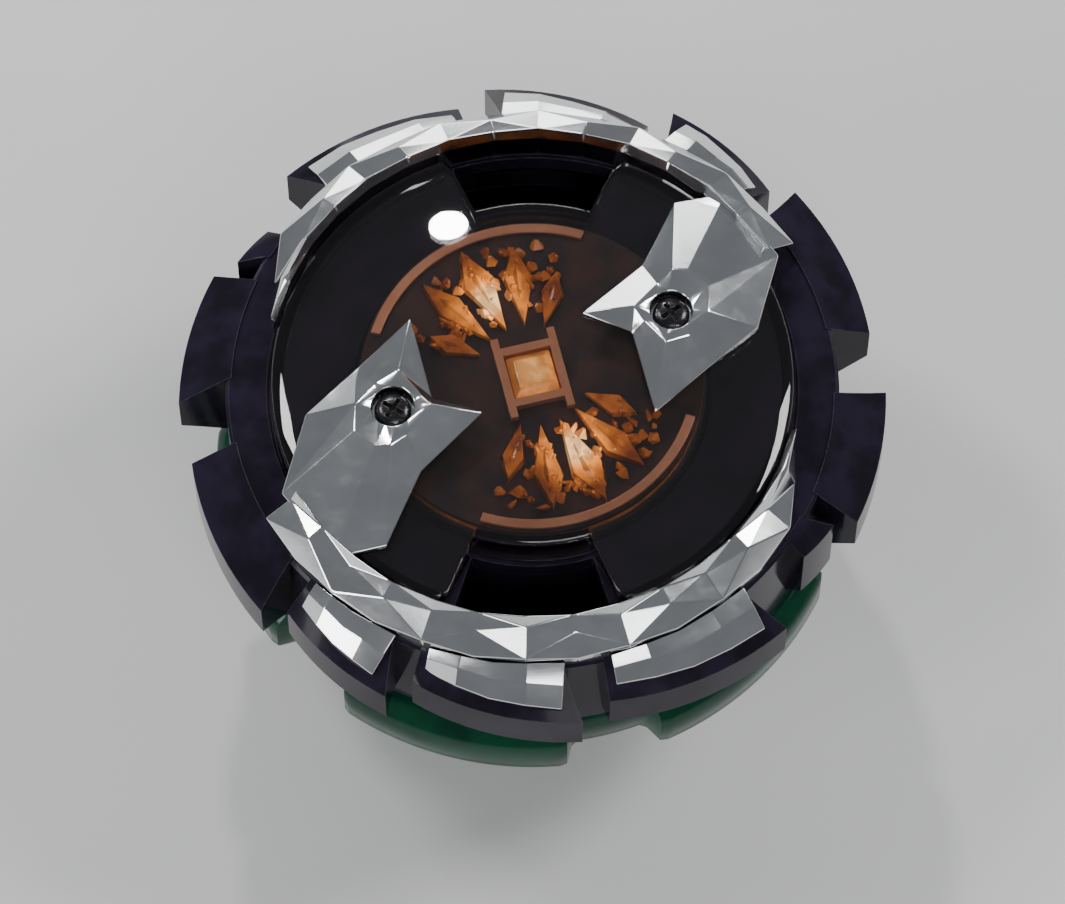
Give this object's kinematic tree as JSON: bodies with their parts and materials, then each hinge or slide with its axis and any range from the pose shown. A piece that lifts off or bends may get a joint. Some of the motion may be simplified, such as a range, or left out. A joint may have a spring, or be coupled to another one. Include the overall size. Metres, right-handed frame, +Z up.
{
  "type": "light-up spinning top",
  "caption": "Bladed battle spinning top with a smoked window over an amber light module, a metal weight disc, and a green driver with a free-turning tip on a ball bearing.",
  "frame": {"origin": "centre of the tip's foot, on the ground, with the top standing upright", "axes": "+Z up along the spin axis, +Y towards one launcher slot"},
  "size_m": [0.05, 0.0496, 0.0324],
  "materials": {
    "body_black": "glossy moulded, near black with a violet cast",
    "bright_plate": "vacuum-metallised silver",
    "smoked_lens": "smoked transparent, polished",
    "amber_clear": "amber translucent, polished",
    "mask_black": "satin black",
    "copper_paint": "metallic copper paint",
    "driver_green": "dark green translucent",
    "tip_black": "turned, satin",
    "plunger_grey": "satin",
    "disc_metal": "die-cast, dark nickel plated",
    "steel": "plain",
    "screw_black": "black oxide",
    "tray_black": "satin",
    "cell_can": "pressed, satin",
    "board_green": "solder resist",
    "led_amber": "clear, lit",
    "resin_black": "cast resin",
    "chip_ceramic": "ceramic",
    "brass": "turned",
    "switch_body": "moulded"
  },
  "bodies": {
    "driver": {"driver_housing": "driver_green", "driver_cap": "driver_green", "driver_screws": "screw_black", "spring_seat": "steel", "bearing_outer_race": "steel", "weight_disc": "disc_metal", "disc_frame": "driver_green", "plunger_spring": "steel"},
    "tip_unit": {"tip": "tip_black", "tip_shaft": "steel", "bearing_inner_race": "steel", "shaft_clip": "steel"},
    "ball_set": {"bearing_balls": "steel", "bearing_cage": "brass"},
    "plunger": {"plunger": "plunger_grey"},
    "switch_weight": {"switch_weight": "brass"},
    "layer": {"layer_base": "body_black", "base_screws": "screw_black", "blade_ring": "body_black", "blade_trims": "bright_plate", "wing_right": "bright_plate", "wing_left": "bright_plate", "wing_screws": "screw_black", "lens_dome": "smoked_lens", "core_tray": "tray_black", "cell_contact": "steel", "coin_cell": "cell_can", "cell_clip": "steel", "circuit_board": "board_green", "led_upper": "led_amber", "led_lower": "led_amber", "led_center": "led_amber", "chip_blob": "resin_black", "resistor": "chip_ceramic", "capacitor": "chip_ceramic", "amber_core": "amber_clear", "core_mask": "mask_black", "center_gem": "amber_clear", "gem_bezel": "copper_paint", "copper_arcs": "copper_paint", "switch_housing": "switch_body", "switch_cover": "switch_body", "switch_contact": "brass", "switch_spring": "steel"}
  },
  "joints": [
    {"name": "layer_turn", "type": "hinge", "parent": "driver", "child": "layer", "pos_m": [0, 0, 0.0186], "axis": [0, 0, 1], "range_deg": [0, 60]},
    {"name": "plunger_slide", "type": "slide", "parent": "driver", "child": "plunger", "axis": [0, 0, 1], "range_m": [-0.0016, 0], "stiffness_N_per_m": 800, "springref_m": 0.003, "deforming": ["plunger_spring"]},
    {"name": "tip_spin", "type": "hinge", "parent": "driver", "child": "tip_unit", "pos_m": [0, 0, 0.00595], "axis": [0, 0, 1], "continuous": true},
    {"name": "cage_spin", "type": "hinge", "parent": "driver", "child": "ball_set", "pos_m": [0, 0, 0.00595], "axis": [0, 0, 1], "continuous": true},
    {"name": "switch_slide", "type": "slide", "parent": "layer", "child": "switch_weight", "axis": [0, 1, 0], "range_m": [0, 0.0009], "stiffness_N_per_m": 30, "springref_m": -0.0005, "deforming": ["switch_spring"]}
  ],
  "couplings": [
    {"joint": "cage_spin", "follows": "tip_spin", "ratio": 0.375}
  ]
}
